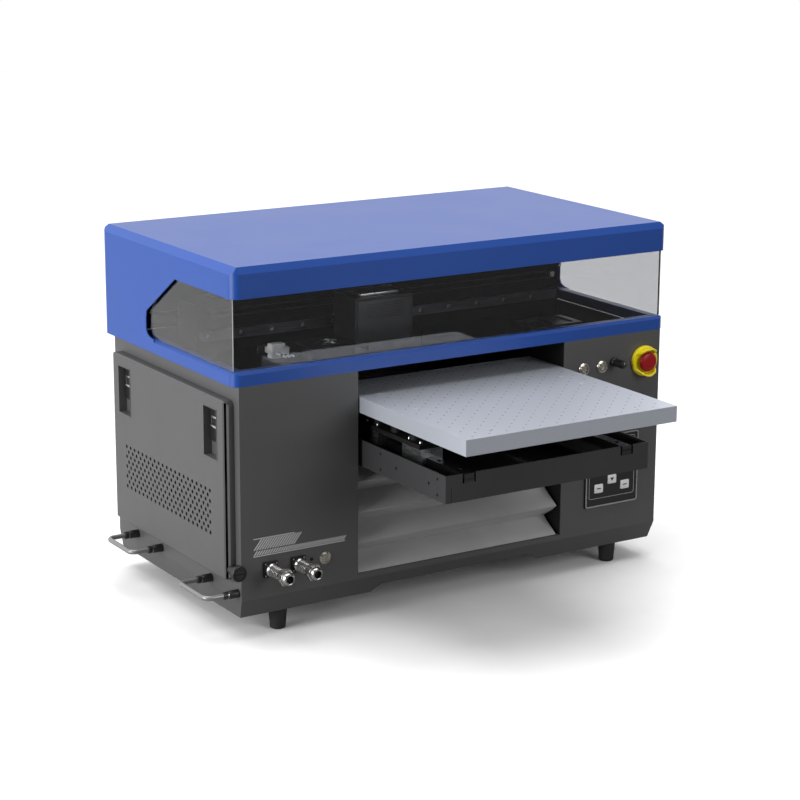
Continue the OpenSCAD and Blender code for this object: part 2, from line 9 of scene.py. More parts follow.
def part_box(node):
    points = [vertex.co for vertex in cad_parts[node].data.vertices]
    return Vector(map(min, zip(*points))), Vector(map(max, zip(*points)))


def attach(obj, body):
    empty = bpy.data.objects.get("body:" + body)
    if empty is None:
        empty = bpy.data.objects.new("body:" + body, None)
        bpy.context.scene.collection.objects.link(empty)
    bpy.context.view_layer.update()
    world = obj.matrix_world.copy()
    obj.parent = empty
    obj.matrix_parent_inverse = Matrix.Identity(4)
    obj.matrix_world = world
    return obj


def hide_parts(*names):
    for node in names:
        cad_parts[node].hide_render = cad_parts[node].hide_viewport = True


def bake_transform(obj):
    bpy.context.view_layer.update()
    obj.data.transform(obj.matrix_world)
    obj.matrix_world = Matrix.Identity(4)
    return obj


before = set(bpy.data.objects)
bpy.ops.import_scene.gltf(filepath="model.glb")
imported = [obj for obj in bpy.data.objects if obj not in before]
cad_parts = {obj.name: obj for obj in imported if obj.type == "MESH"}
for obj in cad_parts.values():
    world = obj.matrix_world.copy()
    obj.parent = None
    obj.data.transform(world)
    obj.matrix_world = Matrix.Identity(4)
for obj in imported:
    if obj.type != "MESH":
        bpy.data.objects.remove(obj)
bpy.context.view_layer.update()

front_lo, front_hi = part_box("front_panel")
CENTRE_X = (front_lo.x + front_hi.x) / 2
FRONT_Y = front_lo.y
MM = 0.001
X_AXIS, Y_AXIS, Z_AXIS = Vector((1, 0, 0)), Vector((0, 1, 0)), Vector((0, 0, 1))
FORWARD = -Y_AXIS

# Places below are in millimetres: x from the cabinet's centreline, y from its front face, z from the floor
PLACE = Matrix.Translation((CENTRE_X, FRONT_Y, 0)) @ Matrix.Scale(MM, 4)


def in_scene(name, data):
    """A new object for the data, linked to the scene."""
    made = bpy.data.objects.new(name, data)
    bpy.context.scene.collection.objects.link(made)
    return made


def node_span(name):
    """Lowest and highest corner of a CAD node, in millimetres from the cabinet's front centre."""
    low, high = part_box(name)
    back = PLACE.inverted()
    return back @ low, back @ high


# ---------------------------------------------------------------- effects shared by the finishes

FLOAT, INTEGER, VECTOR, GEOMETRY = ("NodeSocket" + kind for kind in ("Float", "Int", "Vector", "Geometry"))


def new_group(name, inputs, outputs, tree_type="ShaderNodeTree"):
    """An empty node group with named inputs and outputs, and its two end nodes."""
    tree = bpy.data.node_groups.new(name, tree_type)
    for label, kind, value in inputs:
        socket = tree.interface.new_socket(label, in_out="INPUT", socket_type=kind)
        if value is not None:
            socket.default_value = value
    for label, kind in outputs:
        tree.interface.new_socket(label, in_out="OUTPUT", socket_type=kind)
    return tree, tree.nodes.new("NodeGroupInput"), tree.nodes.new("NodeGroupOutput")


def joined(tree, node_type, settings=(), **sockets):
    """A node with its properties set and its inputs given as numbers or linked from sockets."""
    node = tree.nodes.new(node_type)
    for key, value in dict(settings).items():
        setattr(node, key, value)
    for key, value in sockets.items():
        socket = node.inputs[int(key[2:])] if key.startswith("i_") else node.inputs[key.replace("_", " ")]
        if isinstance(value, bpy.types.NodeSocket):
            tree.links.new(value, socket)
        else:
            socket.default_value = value
    return node


def maths(tree, operation, first, second):
    """The result of adding, multiplying and so on."""
    return joined(tree, "ShaderNodeMath", {"operation": operation}, i_0=first, i_1=second).outputs["Value"]


def object_place(tree):
    """Position in the object's own frame, in metres."""
    return joined(tree, "ShaderNodeTexCoord").outputs["Object"]


def noise(tree, where, **sizes):
    """Noise values, spread round one half."""
    return joined(tree, "ShaderNodeTexNoise", Vector=where, **sizes).outputs["Fac"]


def ranged(tree, value, low, high, new_low=0.0, new_high=1.0):
    """A value carried from one range over to another, and held within it."""
    return joined(tree, "ShaderNodeMapRange", Value=value, From_Min=low, From_Max=high, To_Min=new_low,
                  To_Max=new_high).outputs["Result"]


def powder_grain():
    """The fine pebbled skin of powder coat and moulded plastic, and broad uneven patches."""
    tree, given, result = new_group(
        "powder_grain",
        [("Grain Size", FLOAT, 700.0), ("Patch Size", FLOAT, 7.0)],
        [("Height", FLOAT), ("Patches", FLOAT)])
    where = object_place(tree)
    pebble = noise(tree, where, Scale=given.outputs["Grain Size"], Detail=2.0)
    patch = noise(tree, where, Scale=given.outputs["Patch Size"], Detail=4.0)
    tree.links.new(pebble, result.inputs["Height"])
    tree.links.new(patch, result.inputs["Patches"])
    return tree


def brushed_lines():
    """Fine parallel lines of ground or brushed metal, stretched by the scale that is given."""
    tree, given, result = new_group(
        "brushed_lines", [("Stretch", VECTOR, (20.0, 900.0, 900.0))],
        [("Height", FLOAT), ("Streaks", FLOAT)])
    drawn = joined(tree, "ShaderNodeMapping", Vector=object_place(tree), Scale=given.outputs["Stretch"])
    fine = noise(tree, drawn.outputs["Vector"], Scale=1.0, Detail=3.0)
    tree.links.new(fine, result.inputs["Height"])
    tree.links.new(ranged(tree, fine, 0.35, 0.7), result.inputs["Streaks"])
    return tree


def light_rub():
    """Sparse light rub marks and a little dust, as a mask."""
    tree, given, result = new_group(
        "light_rub", [("Amount", FLOAT, 0.3)], [("Mask", FLOAT)])
    smear = noise(tree, object_place(tree), Scale=38.0, Detail=8.0, Roughness=0.7)
    mark = ranged(tree, smear, 0.6, 0.8)
    tree.links.new(maths(tree, "MULTIPLY", mark, given.outputs["Amount"]), result.inputs["Mask"])
    return tree


GRAIN, LINES, RUB = powder_grain(), brushed_lines(), light_rub()


# ---------------------------------------------------------------- finishes

def shaded(colour):
    """A colour with full opacity."""
    return (*colour, 1.0)


def new_finish(name, **sockets):
    """A material with its surface shader; sockets that are the same all over are set here."""
    material = bpy.data.materials.new(name)
    material.use_nodes = True
    surface = material.node_tree.nodes["Principled BSDF"]
    for key, value in sockets.items():
        surface.inputs[key.replace("_", " ")].default_value = value
    return material, material.node_tree, surface


def use_effect(tree, group, **sockets):
    """A shared effect in a finish's own tree."""
    node = joined(tree, "ShaderNodeGroup", {"node_tree": group})
    for key, value in sockets.items():
        node.inputs[key.replace("_", " ")].default_value = value
    return node


def tinted(tree, factor, base, other):
    """Base colour or colour socket, turning to the other colour by a factor that varies over the surface."""
    first = base if isinstance(base, bpy.types.NodeSocket) else shaded(base)
    return joined(tree, "ShaderNodeMix", {"data_type": "RGBA"}, Factor=factor, i_6=first,
                  i_7=shaded(other)).outputs[2]


def spread(tree, value, low, high):
    """A noise value, mostly 0.3 to 0.7, opened out to the range low to high."""
    return ranged(tree, value, 0.3, 0.7, low, high)


def raised(tree, surface, height, distance, strength=1.0):
    """Bump the surface by a height, over a depth in metres."""
    bump = joined(tree, "ShaderNodeBump", Height=height, Distance=distance, Strength=strength)
    tree.links.new(bump.outputs["Normal"], surface.inputs["Normal"])


def coated(name, colour, light, rough, grain=900.0, depth=0.00006, rub=0.15, unevenness=0.05, **sockets):
    """Powder coat, paint, rubber or moulded plastic: pebbled skin, uneven gloss, faint rub marks."""
    material, tree, surface = new_finish(name, **sockets)
    skin = use_effect(tree, GRAIN, Grain_Size=grain)
    rubbed = use_effect(tree, RUB, Amount=rub)
    ground = tinted(tree, skin.outputs["Patches"], colour, [c * 1.12 for c in colour])
    tree.links.new(tinted(tree, rubbed.outputs["Mask"], ground, light), surface.inputs["Base Color"])
    tree.links.new(spread(tree, skin.outputs["Patches"], rough - unevenness, rough + unevenness),
                   surface.inputs["Roughness"])
    raised(tree, surface, skin.outputs["Height"], depth)
    return material


def metal(name, colour, dark, rough, stretch, depth=0.00003, **sockets):
    """Bare or plated metal with fine lines and a little cloudiness."""
    material, tree, surface = new_finish(name, **{"Metallic": 1.0, **sockets})
    lines = use_effect(tree, LINES, Stretch=stretch)
    tree.links.new(tinted(tree, lines.outputs["Streaks"], dark, colour), surface.inputs["Base Color"])
    tree.links.new(spread(tree, lines.outputs["Height"], rough - 0.05, rough + 0.08),
                   surface.inputs["Roughness"])
    raised(tree, surface, lines.outputs["Height"], depth)
    return material


def smoked_sheet(name, colour):
    """Clear grey acrylic, with faint dust in its gloss."""
    material, tree, surface = new_finish(name, Base_Color=shaded(colour), Transmission_Weight=1.0, IOR=1.45)
    dust = use_effect(tree, RUB, Amount=0.10)
    tree.links.new(maths(tree, "ADD", dust.outputs["Mask"], 0.015), surface.inputs["Roughness"])
    return material


def curtain_cloth(name, colour, dark):
    """Coated bellows cloth: a fine weave across x and z, with soft creases."""
    material, tree, surface = new_finish(name, Sheen_Weight=0.25)
    where = object_place(tree)
    across, down = (joined(tree, "ShaderNodeTexWave", {"bands_direction": axis}, Vector=where,
                           Scale=380.0).outputs["Fac"] for axis in "XZ")
    weave = maths(tree, "MULTIPLY", across, down)
    skin = use_effect(tree, GRAIN, Grain_Size=60.0, Patch_Size=18.0)
    tree.links.new(tinted(tree, skin.outputs["Patches"], dark, colour), surface.inputs["Base Color"])
    tree.links.new(spread(tree, skin.outputs["Patches"], 0.5, 0.7), surface.inputs["Roughness"])
    raised(tree, surface, weave, 0.00012, 0.5)
    return material


GRAPHITE = coated("graphite_powder_coat", (0.074, 0.074, 0.076), (0.13, 0.13, 0.13), 0.44, 1300.0, 0.00009)
BLUE = coated("royal_blue_coat", (0.010, 0.062, 0.31), (0.03, 0.10, 0.40), 0.35, 500.0, 0.00002, 0.05, 0.012)
BLACK_COAT = coated("black_sheet_coat", (0.006, 0.006, 0.0065), (0.015, 0.015, 0.015), 0.6, 1100.0, 0.00004,
                    Specular_IOR_Level=0.25)
# Near-black with almost no gloss: painted shade inside the hood, and the black of the deck plate and gantry
# beam.
BLACK_AND_HOOD_SHADE = coated("hood_lining_black", (0.003, 0.003, 0.003), (0.005, 0.005, 0.005), 0.85, 400.0, 0.00001,
                    Specular_IOR_Level=0.05)
TRAY_COAT = coated("tray_grey_coat", (0.032, 0.032, 0.034), (0.08, 0.08, 0.08), 0.42, 1200.0, 0.00008)
BLACK_PLASTIC = coated("black_moulding", (0.012, 0.012, 0.013), (0.04, 0.04, 0.04), 0.38, 1600.0, 0.00006)
RUBBER = coated("foot_rubber", (0.011, 0.011, 0.011), (0.03, 0.03, 0.03), 0.66, 500.0, 0.0001)
YELLOW = coated("yellow_moulding", (0.90, 0.74, 0.014), (0.95, 0.85, 0.25), 0.30, 900.0, 0.00003, 0.1)
RED = coated("red_moulding", (0.33, 0.008, 0.011), (0.42, 0.05, 0.05), 0.34, 900.0, 0.00002, 0.1,
             Specular_IOR_Level=0.3)
WHITE = coated("white_moulding", (0.72, 0.72, 0.72), (0.8, 0.8, 0.8), 0.42, 900.0, 0.00004)
# Pale grey of printed marks and pale screws; also a painted highlight down the window's front corners.
PALE_GREY_AND_HIGHLIGHT = coated("label_pale_grey", (0.50, 0.50, 0.51), (0.6, 0.6, 0.6), 0.45, 700.0, 0.00002)
HANDLE_GREY = coated("handle_tube_coat", (0.24, 0.24, 0.245), (0.4, 0.4, 0.4), 0.34, 900.0, 0.00005,
                     Metallic=0.5)
BED_TOP = metal("bed_anodised", (0.52, 0.55, 0.61), (0.475, 0.505, 0.57), 0.34, (160.0, 900.0, 900.0),
                0.00001, Metallic=0.35)
STEEL = metal("ground_steel", (0.60, 0.60, 0.61), (0.42, 0.42, 0.43), 0.26, (700.0, 700.0, 12.0))
DARK_STEEL = metal("dark_rail_steel", (0.10, 0.10, 0.105), (0.05, 0.05, 0.055), 0.34, (12.0, 700.0, 700.0))
NICKEL = metal("nickel_plate", (0.62, 0.61, 0.60), (0.45, 0.44, 0.43), 0.22, (300.0, 40.0, 300.0))
CHAMPAGNE = metal("champagne_plate", (0.70, 0.65, 0.58), (0.50, 0.46, 0.40), 0.28, (250.0, 60.0, 250.0))
ZINC = metal("bright_zinc", (0.58, 0.59, 0.60), (0.50, 0.51, 0.52), 0.30, (60.0, 60.0, 600.0), 0.00001)
AMBER = metal("brass_strip", (0.55, 0.33, 0.08), (0.35, 0.2, 0.05), 0.3, (20.0, 500.0, 500.0))
SMOKED = smoked_sheet("smoked_acrylic", (0.855, 0.86, 0.875))
CURTAIN = curtain_cloth("bellows_cloth", (0.42, 0.42, 0.425), (0.34, 0.34, 0.345))
VOID = coated("hole_shadow", (0.004, 0.004, 0.004), (0.01, 0.01, 0.01), 0.9, 300.0, 0.00002)

FINISHED_NODES = [
    (GRAPHITE, "base_pan front_panel left_wall right_wall rear_panel service_panel"),
    (BLACK_COAT, "cheeks drive_motors bed_motor bed_cradle"),
    # Deck plate and gantry beam: their own black, in the glossless near-black that also paints the shade
    # inside the hood.
    (BLACK_AND_HOOD_SHADE, "deck_plate gantry_beam"),
    (RUBBER, "feet carriage_belt"),
    (NICKEL, "cable_glands"),
    (CHAMPAGNE, "round_plug button_bezels start_button stop_button"),
    (YELLOW, "estop_guard"),
    (RED, "estop_button"),
    (BLACK_PLASTIC, "keypad cap_tray ink_bottles rear_inlet rear_fan_frame rear_fan_rotor print_head uv_lamp "
                    "lamp_fan lock_knob selector_knob"),
    (STEEL, "lift_guides lift_screw_left lift_screw_right bed_drive_screw carriage_pulley"),
    (DARK_STEEL, "gantry_rail bed_rails"),
    (ZINC, "control_box hood_hinges bed_blocks latch_front latch_rear"),
    (TRAY_COAT, "tray_bearers lift_frame carriage"),
    (WHITE, "ink_manifold key_up key_down key_left key_right"),
    (HANDLE_GREY, "handle_left_front handle_left_rear handle_right_front handle_right_rear"),
    (CURTAIN, "bellows"),
    (BED_TOP, "bed_plate"),
    (BLUE, "hood_shell"),
    (SMOKED, "window"),
]
finish_of = {name: finish for finish, names in FINISHED_NODES for name in names.split()}
for node_name, node_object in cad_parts.items():
    node_object.data.materials.clear()
    node_object.data.materials.append(finish_of[node_name])


# ---------------------------------------------------------------- making pieces

def basis(direction):
    """Two unit vectors square to a direction."""
    side = Z_AXIS if abs(direction.z) < 0.9 else X_AXIS
    first = direction.cross(side).normalized()
    return first, direction.cross(first).normalized()


class Form:
    """A mesh put together from turned, swept and cut shapes, with a finish for each."""

    def __init__(self, *finishes):
        self.bm = bmesh.new()
        self.finishes = finishes

    def keep(self, faces, finish):
        """Give new faces their finish and turn them outward."""
        for face in faces:
            face.material_index = finish
        bmesh.ops.recalc_face_normals(self.bm, faces=faces)

    def between(self, near, far, closed=True):
        """Four-sided faces from one line of corners to the next."""
        count = len(near)
        pairs = [(i, (i + 1) % count) for i in range(count if closed else count - 1)]
        return [self.bm.faces.new([near[i], near[j], far[j], far[i]]) for i, j in pairs]

    def turned(self, base, direction, profile, finish=0, steps=32):
        """A solid turned about a line, from (distance along, radius) pairs.

        A profile that starts and ends off the line closes on itself and makes a ring.
        """
        base, direction = Vector(base), Vector(direction)
        u, v = basis(direction)
        rings = []
        for along, radius in profile:
            middle = base + direction * along
            if radius < 1e-6:
                rings.append([self.bm.verts.new(middle)])
                continue
            turns = [2 * math.pi * i / steps for i in range(steps)]
            rings.append([self.bm.verts.new(middle + u * math.cos(t) * radius + v * math.sin(t) * radius)
                          for t in turns])
        faces = []
        is_ring = profile[0][1] > 0 and profile[-1][1] > 0
        for near, far in zip(rings, rings[1:] + rings[:1] if is_ring else rings[1:]):
            for i in range(steps):
                j = (i + 1) % steps
                corners = [near[i % len(near)], near[j % len(near)], far[j % len(far)], far[i % len(far)]]
                unique = list(dict.fromkeys(corners))
                if len(unique) > 2:
                    faces.append(self.bm.faces.new(unique))
        self.keep(faces, finish)

    def prism(self, outline, axis, start, end, finish=0, bevel=0.0):
        """An outline of (u, v) points pushed along x, y or z from start to end."""
        order = {"x": lambda a, u, v: (a, u, v), "y": lambda a, u, v: (u, a, v),
                 "z": lambda a, u, v: (u, v, a)}[axis]
        ends = [[self.bm.verts.new(order(a, u, v)) for u, v in outline] for a in (start, end)]
        faces = [self.bm.faces.new(ends[0]), self.bm.faces.new(ends[1]), *self.between(*ends)]
        self.keep(faces, finish)
        if bevel:
            edges = list({edge for face in faces for edge in face.edges})
            made = bmesh.ops.bevel(self.bm, geom=edges, offset=bevel, segments=2, affect="EDGES", profile=0.5,
                                   clamp_overlap=True)
            for face in made["faces"]:
                face.material_index = finish

    def block(self, low, high, finish=0, bevel=0.0):
        """A box from its lowest to its highest corner."""
        outline = [(low[0], low[1]), (high[0], low[1]), (high[0], high[1]), (low[0], high[1])]
        self.prism(outline, "z", low[2], high[2], finish, bevel)

    def swept(self, path, radius, finish=0, steps=14):
        """A round bar along a path of points, with closed ends."""
        path = [Vector(p) for p in path]
        rings, u = [], None
        for i, point in enumerate(path):
            ahead = (path[min(i + 1, len(path) - 1)] - path[max(i - 1, 0)]).normalized()
            u = basis(ahead)[0] if u is None else (u - ahead * u.dot(ahead)).normalized()
            v = ahead.cross(u)
            rings.append([self.bm.verts.new(point + (u * math.cos(t) + v * math.sin(t)) * radius)
                          for t in (2 * math.pi * k / steps for k in range(steps))])
        faces = [self.bm.faces.new(rings[0]), self.bm.faces.new(rings[-1])]
        for near, far in zip(rings, rings[1:]):
            faces += self.between(near, far)
        self.keep(faces, finish)

    def made(self, name, body, slot, replaced=(), sharp=32):
        """The finished piece, in metres, riding on its body."""
        self.bm.transform(PLACE)
        mesh = bpy.data.meshes.new(name)
        self.bm.to_mesh(mesh)
        self.bm.free()
        for finish in self.finishes:
            mesh.materials.append(finish)
        return settle(name, mesh, body, replaced, sharp)


def settle(name, mesh, body, replaced=(), sharp=32):
    """An object for the mesh, tied to its body and replaced nodes."""
    piece = in_scene(name, mesh)
    for polygon in mesh.polygons:
        polygon.use_smooth = True
    mesh.set_sharp_from_angle(angle=math.radians(sharp))
    if body:
        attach(piece, body)
    if replaced:
        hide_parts(*replaced)
    return piece


def arc(centre, radius, start, end, count):
    """Points of an arc in degrees, as (u, v) pairs."""
    turns = [math.radians(start + (end - start) * i / count) for i in range(count + 1)]
    return [(centre[0] + radius * math.cos(t), centre[1] + radius * math.sin(t)) for t in turns]


def round_rect(u0, v0, u1, v1, radius, count=5):
    """Outline of a rectangle with rounded corners."""
    left, right, low, high = u0 + radius, u1 - radius, v0 + radius, v1 - radius
    corners = ((right, high), (left, high), (left, low), (right, low))
    return [point for k, corner in enumerate(corners)
            for point in arc(corner, radius, 90 * k, 90 * k + 90, count)]


# ---------------------------------------------------------------- what repeats

def growing(name, inputs):
    """A geometry node tree that takes points and gives back geometry, with named sizes and a turn."""
    points, turn = ("Points", GEOMETRY, None), ("Turn", VECTOR, (0.0, 0.0, 0.0))
    return new_group(name, [points, *inputs, turn], [("Geometry", GEOMETRY)], "GeometryNodeTree")


def lifted(tree, value):
    """A vector along z."""
    return joined(tree, "ShaderNodeCombineXYZ", Z=value).outputs["Vector"]


def planted(tree, given, shape, finish):
    """The shape on every point, made real, in its finish."""
    placed = joined(tree, "GeometryNodeInstanceOnPoints", Points=given.outputs["Points"], Instance=shape,
                    Rotation=given.outputs["Turn"])
    real = joined(tree, "GeometryNodeRealizeInstances", Geometry=placed.outputs["Instances"])
    return joined(tree, "GeometryNodeSetMaterial", Geometry=real.outputs["Geometry"],
                  Material=finish).outputs["Geometry"]


def both(tree, *parts):
    """Several geometries joined into one."""
    node = tree.nodes.new("GeometryNodeJoinGeometry")
    for part in parts:
        tree.links.new(part, node.inputs["Geometry"])
    return node.outputs["Geometry"]


def socket_screws(name, head_finish):
    """Low chamfered screw heads with a hexagon socket."""
    tree, given, result = growing(name, [
        ("Head Radius", FLOAT, 0.003), ("Head Height", FLOAT, 0.002)])
    radius, height = given.outputs["Head Radius"], given.outputs["Head Height"]
    head = joined(tree, "GeometryNodeMeshCone", Vertices=20, Radius_Bottom=radius,
                  Radius_Top=maths(tree, "MULTIPLY", radius, 0.84), Depth=height)
    socket = joined(tree, "GeometryNodeMeshCylinder", Vertices=6,
                    Radius=maths(tree, "MULTIPLY", radius, 0.45), Depth=maths(tree, "MULTIPLY", height, 0.06))
    raised_socket = joined(tree, "GeometryNodeTransform", Geometry=socket.outputs["Mesh"],
                           Translation=lifted(tree, height))
    whole = both(tree, planted(tree, given, head.outputs["Mesh"], head_finish),
                 planted(tree, given, raised_socket.outputs["Geometry"], VOID))
    tree.links.new(whole, result.inputs["Geometry"])
    return tree


def small_holes():
    """Small drilled holes, each shown as a thin dark disc."""
    tree, given, result = growing("small_holes", [
        ("Hole Radius", FLOAT, 0.001), ("Disc Height", FLOAT, 0.00006)])
    hole = joined(tree, "GeometryNodeMeshCylinder", Vertices=10, Radius=given.outputs["Hole Radius"],
                  Depth=given.outputs["Disc Height"])
    tree.links.new(planted(tree, given, hole.outputs["Mesh"], VOID), result.inputs["Geometry"])
    return tree


def grip_ribs():
    """Straight ribs standing round a knob, one on each point of a circle."""
    tree, given, result = growing("grip_ribs", [
        ("Ribs", INTEGER, 24), ("Ring Radius", FLOAT, 0.008),
        ("Rib Size", VECTOR, (0.001, 0.001, 0.01))])
    ring = joined(tree, "GeometryNodeMeshCircle", Vertices=given.outputs["Ribs"],
                  Radius=given.outputs["Ring Radius"])
    index = joined(tree, "GeometryNodeInputIndex").outputs["Index"]
    share = maths(tree, "DIVIDE", index, given.outputs["Ribs"])
    spin = lifted(tree, maths(tree, "MULTIPLY", share, 2 * math.pi))
    rib = joined(tree, "GeometryNodeMeshCube", Size=given.outputs["Rib Size"])
    standing = joined(tree, "GeometryNodeInstanceOnPoints", Points=ring.outputs["Mesh"],
                      Instance=rib.outputs["Mesh"], Rotation=spin)
    whole = joined(tree, "GeometryNodeRealizeInstances", Geometry=standing.outputs["Instances"])
    tree.links.new(planted(tree, given, whole.outputs["Geometry"], BLACK_PLASTIC), result.inputs["Geometry"])
    return tree


def guard_rings():
    """Wire rings of a fan guard, growing outwards by an even pitch."""
    tree, given, result = growing("guard_rings", [
        ("Rings", INTEGER, 5), ("Pitch", FLOAT, 0.007),
        ("Wire", FLOAT, 0.0009)])
    line = joined(tree, "GeometryNodeMeshLine", Count=given.outputs["Rings"], Offset=(0.0, 0.0, 0.0))
    index = joined(tree, "GeometryNodeInputIndex").outputs["Index"]
    size = maths(tree, "MULTIPLY", maths(tree, "ADD", index, 1.0), given.outputs["Pitch"])
    circle = joined(tree, "GeometryNodeCurvePrimitiveCircle", Resolution=40, Radius=1.0)
    rings = joined(tree, "GeometryNodeInstanceOnPoints", Points=line.outputs["Mesh"],
                   Instance=circle.outputs["Curve"], Scale=size)
    real = joined(tree, "GeometryNodeRealizeInstances", Geometry=rings.outputs["Instances"])
    wire = joined(tree, "GeometryNodeCurvePrimitiveCircle", Resolution=8, Radius=given.outputs["Wire"])
    bars = joined(tree, "GeometryNodeCurveToMesh", Curve=real.outputs["Geometry"],
                  Profile_Curve=wire.outputs["Curve"])
    tree.links.new(planted(tree, given, bars.outputs["Mesh"], ZINC), result.inputs["Geometry"])
    return tree


STEEL_SCREWS, BLACK_SCREWS = socket_screws("steel_screws", ZINC), socket_screws("black_screws", BLACK_COAT)
WHITE_SCREWS = socket_screws("pale_screws", PALE_GREY_AND_HIGHLIGHT)
HOLES, RIBS, RINGS = small_holes(), grip_ribs(), guard_rings()
TURN_TO = {"up": (0, 0, 0), "front": (math.pi / 2, 0, 0), "rear": (-math.pi / 2, 0, 0),
           "left": (0, -math.pi / 2, 0), "right": (0, math.pi / 2, 0)}


def grown(name, tree, points, facing, body, slot, **sizes):
    """One plain mesh grown by a tree on points given in millimetres."""
    seeds = bpy.data.meshes.new(name + "_seeds")
    seeds.from_pydata([PLACE @ Vector(p) for p in points], [], [])
    base = in_scene(name + "_seeds", seeds)
    modifier = base.modifiers.new("grow", "NODES")
    modifier.node_group = tree
    sizes["Turn"] = TURN_TO[facing]
    for item in tree.interface.items_tree:
        key = item.name.replace(" ", "_")
        if item.in_out == "INPUT" and key in sizes:
            modifier[item.identifier] = sizes[key]
    bpy.context.view_layer.update()
    evaluated = base.evaluated_get(bpy.context.evaluated_depsgraph_get())
    mesh = bpy.data.meshes.new_from_object(evaluated)
    mesh.name = name
    bpy.data.objects.remove(base)
    return settle(name, mesh, body)


def screwed(name, tree, points, facing, body, slot, radius, height):
    """Screw heads on points, all in millimetres."""
    return grown(name, tree, points, facing, body, slot, Head_Radius=radius * MM, Head_Height=height * MM)


# ---------------------------------------------------------------- camera

AIM = Vector((0.0647, 0.1785, 0.3080))
AWAY = Vector((-0.5157, -0.8206, 0.2464)).normalized()
CAMERA_DISTANCE = 4.2075
CAMERA_ROLL = 0.005
camera_data = bpy.data.cameras.new("camera")
camera_data.sensor_width = 36.0
camera_data.lens = 99.06
camera = in_scene("camera", camera_data)
camera.rotation_mode = "QUATERNION"
camera.location = AIM + AWAY * CAMERA_DISTANCE
camera.rotation_quaternion = ((-AWAY).to_track_quat("-Z", "Y").to_matrix()
                              @ Matrix.Rotation(CAMERA_ROLL, 3, "Z")).to_quaternion()
bpy.context.scene.camera = camera


# ---------------------------------------------------------------- front fittings

GLANDS = [(-394, 122.5), (-339, 122.5)]


def gland_pair():
    """Long cable glands on square screwed plates: collar, grooved barrel, nut and domed hexagon end."""
    form = Form(NICKEL, VOID, BLACK_COAT)
    for x, z in GLANDS:
        form.block((x - 14, -5, z - 14), (x + 14, -0.2, z + 14), 2, 1.2)
        barrel = [(3, 12.4), (11, 12.4), (12.5, 11)]
        for i in range(6):
            groove = 14 + i * 5
            barrel += [(groove, 10.4), (groove + 0.6, 9.4), (groove + 2, 9.4), (groove + 2.6, 10.4)]
        barrel += [(44, 10.2), (45.5, 11.2), (49.5, 11.2), (50, 10)]
        form.turned((x, 0, z), FORWARD, [(3, 0), *barrel, (50, 0)])
        form.turned((x, -47, z), FORWARD, [(0, 0), (0, 12.6), (1, 13.8), (4, 13.8), (5, 12.6), (5, 0)])
        form.turned((x, -50, z), FORWARD, [(0, 0), (0, 13), (0.9, 15.8), (9, 15.8), (10.4, 13.6), (10.4, 0)],
                    steps=6)
        dome = [(0, 0), (0, 12), (4, 12.4), (8.5, 11.4), (11, 9.6), (11.8, 8.4), (11.4, 7), (4, 6.8), (4, 0)]
        form.turned((x, -60, z), FORWARD, dome)
        form.turned((x, -60.2, z), FORWARD, [(0, 0), (0, 6.6), (4.4, 6.6), (4.4, 0)], 1)
    form.made("gland_pair", "cabinet", "nickel", ["cable_glands"])
    corners = [(x + dx, -5, z + dz) for x, z in GLANDS for dx in (-10.6, 10.6) for dz in (-10.6, 10.6)]
    screwed("gland_screws", STEEL_SCREWS, corners, "front", "cabinet", "nickel", 1.7, 0.9)


def blank_plug():
    """Faceted champagne plug, and the small cap beside it."""
    form = Form(CHAMPAGNE, VOID)
    rim = [(0, 0), (0, 11.8), (1.2, 11.8), (2.2, 10.6), (2.6, 9.4), (3.4, 8.6), (3.4, 6.4), (2.8, 5.6),
           (2.8, 0)]
    form.turned((-283.5, 0, 123.5), FORWARD, rim, steps=12)
    form.turned((-311, 0, 125.5), FORWARD,
                [(-0.5, 0), (-0.5, 3.2), (0.4, 3.2), (0.4, 2.4), (0.1, 2.3), (0.1, 0)], 1, 20)
    form.made("blank_plug", "cabinet", "nickel", ["round_plug"])


BUTTON_Z = 395
PUSH_BUTTONS = {"start_button": 272, "stop_button": 314}


def button_pair():
    """Stepped bezels and their dished caps."""
    for name, x in PUSH_BUTTONS.items():
        cap = Form(CHAMPAGNE)
        cap.turned((x, 0, BUTTON_Z), FORWARD, [(-20, 0), (-20, 7.1), (2.6, 7.1), (3.3, 6.4), (3.3, 5.2),
                                               (2.5, 4.4), (2.2, 2), (2.1, 0)])
        cap.made(name + "_cap", name, "nickel", [name])
    rings = Form(CHAMPAGNE)
    for x in PUSH_BUTTONS.values():
        rings.turned((x, 0, BUTTON_Z), FORWARD, [
            (0, 9.5), (0, 12), (1.6, 12), (2.8, 11.2), (3.4, 9.8), (4, 9.4), (4, 8.4), (3.2, 7.6), (-26, 7.5),
            (-26, 9.5)])
    rings.made("button_rings", "cabinet", "nickel", ["button_bezels"])


STOP_X, STOP_Z = 412, 395.5
LIP_RADIUS, LIP_THICK, LIP_BASE, LIP_TOP = 27, 3.4, 6.5, 24


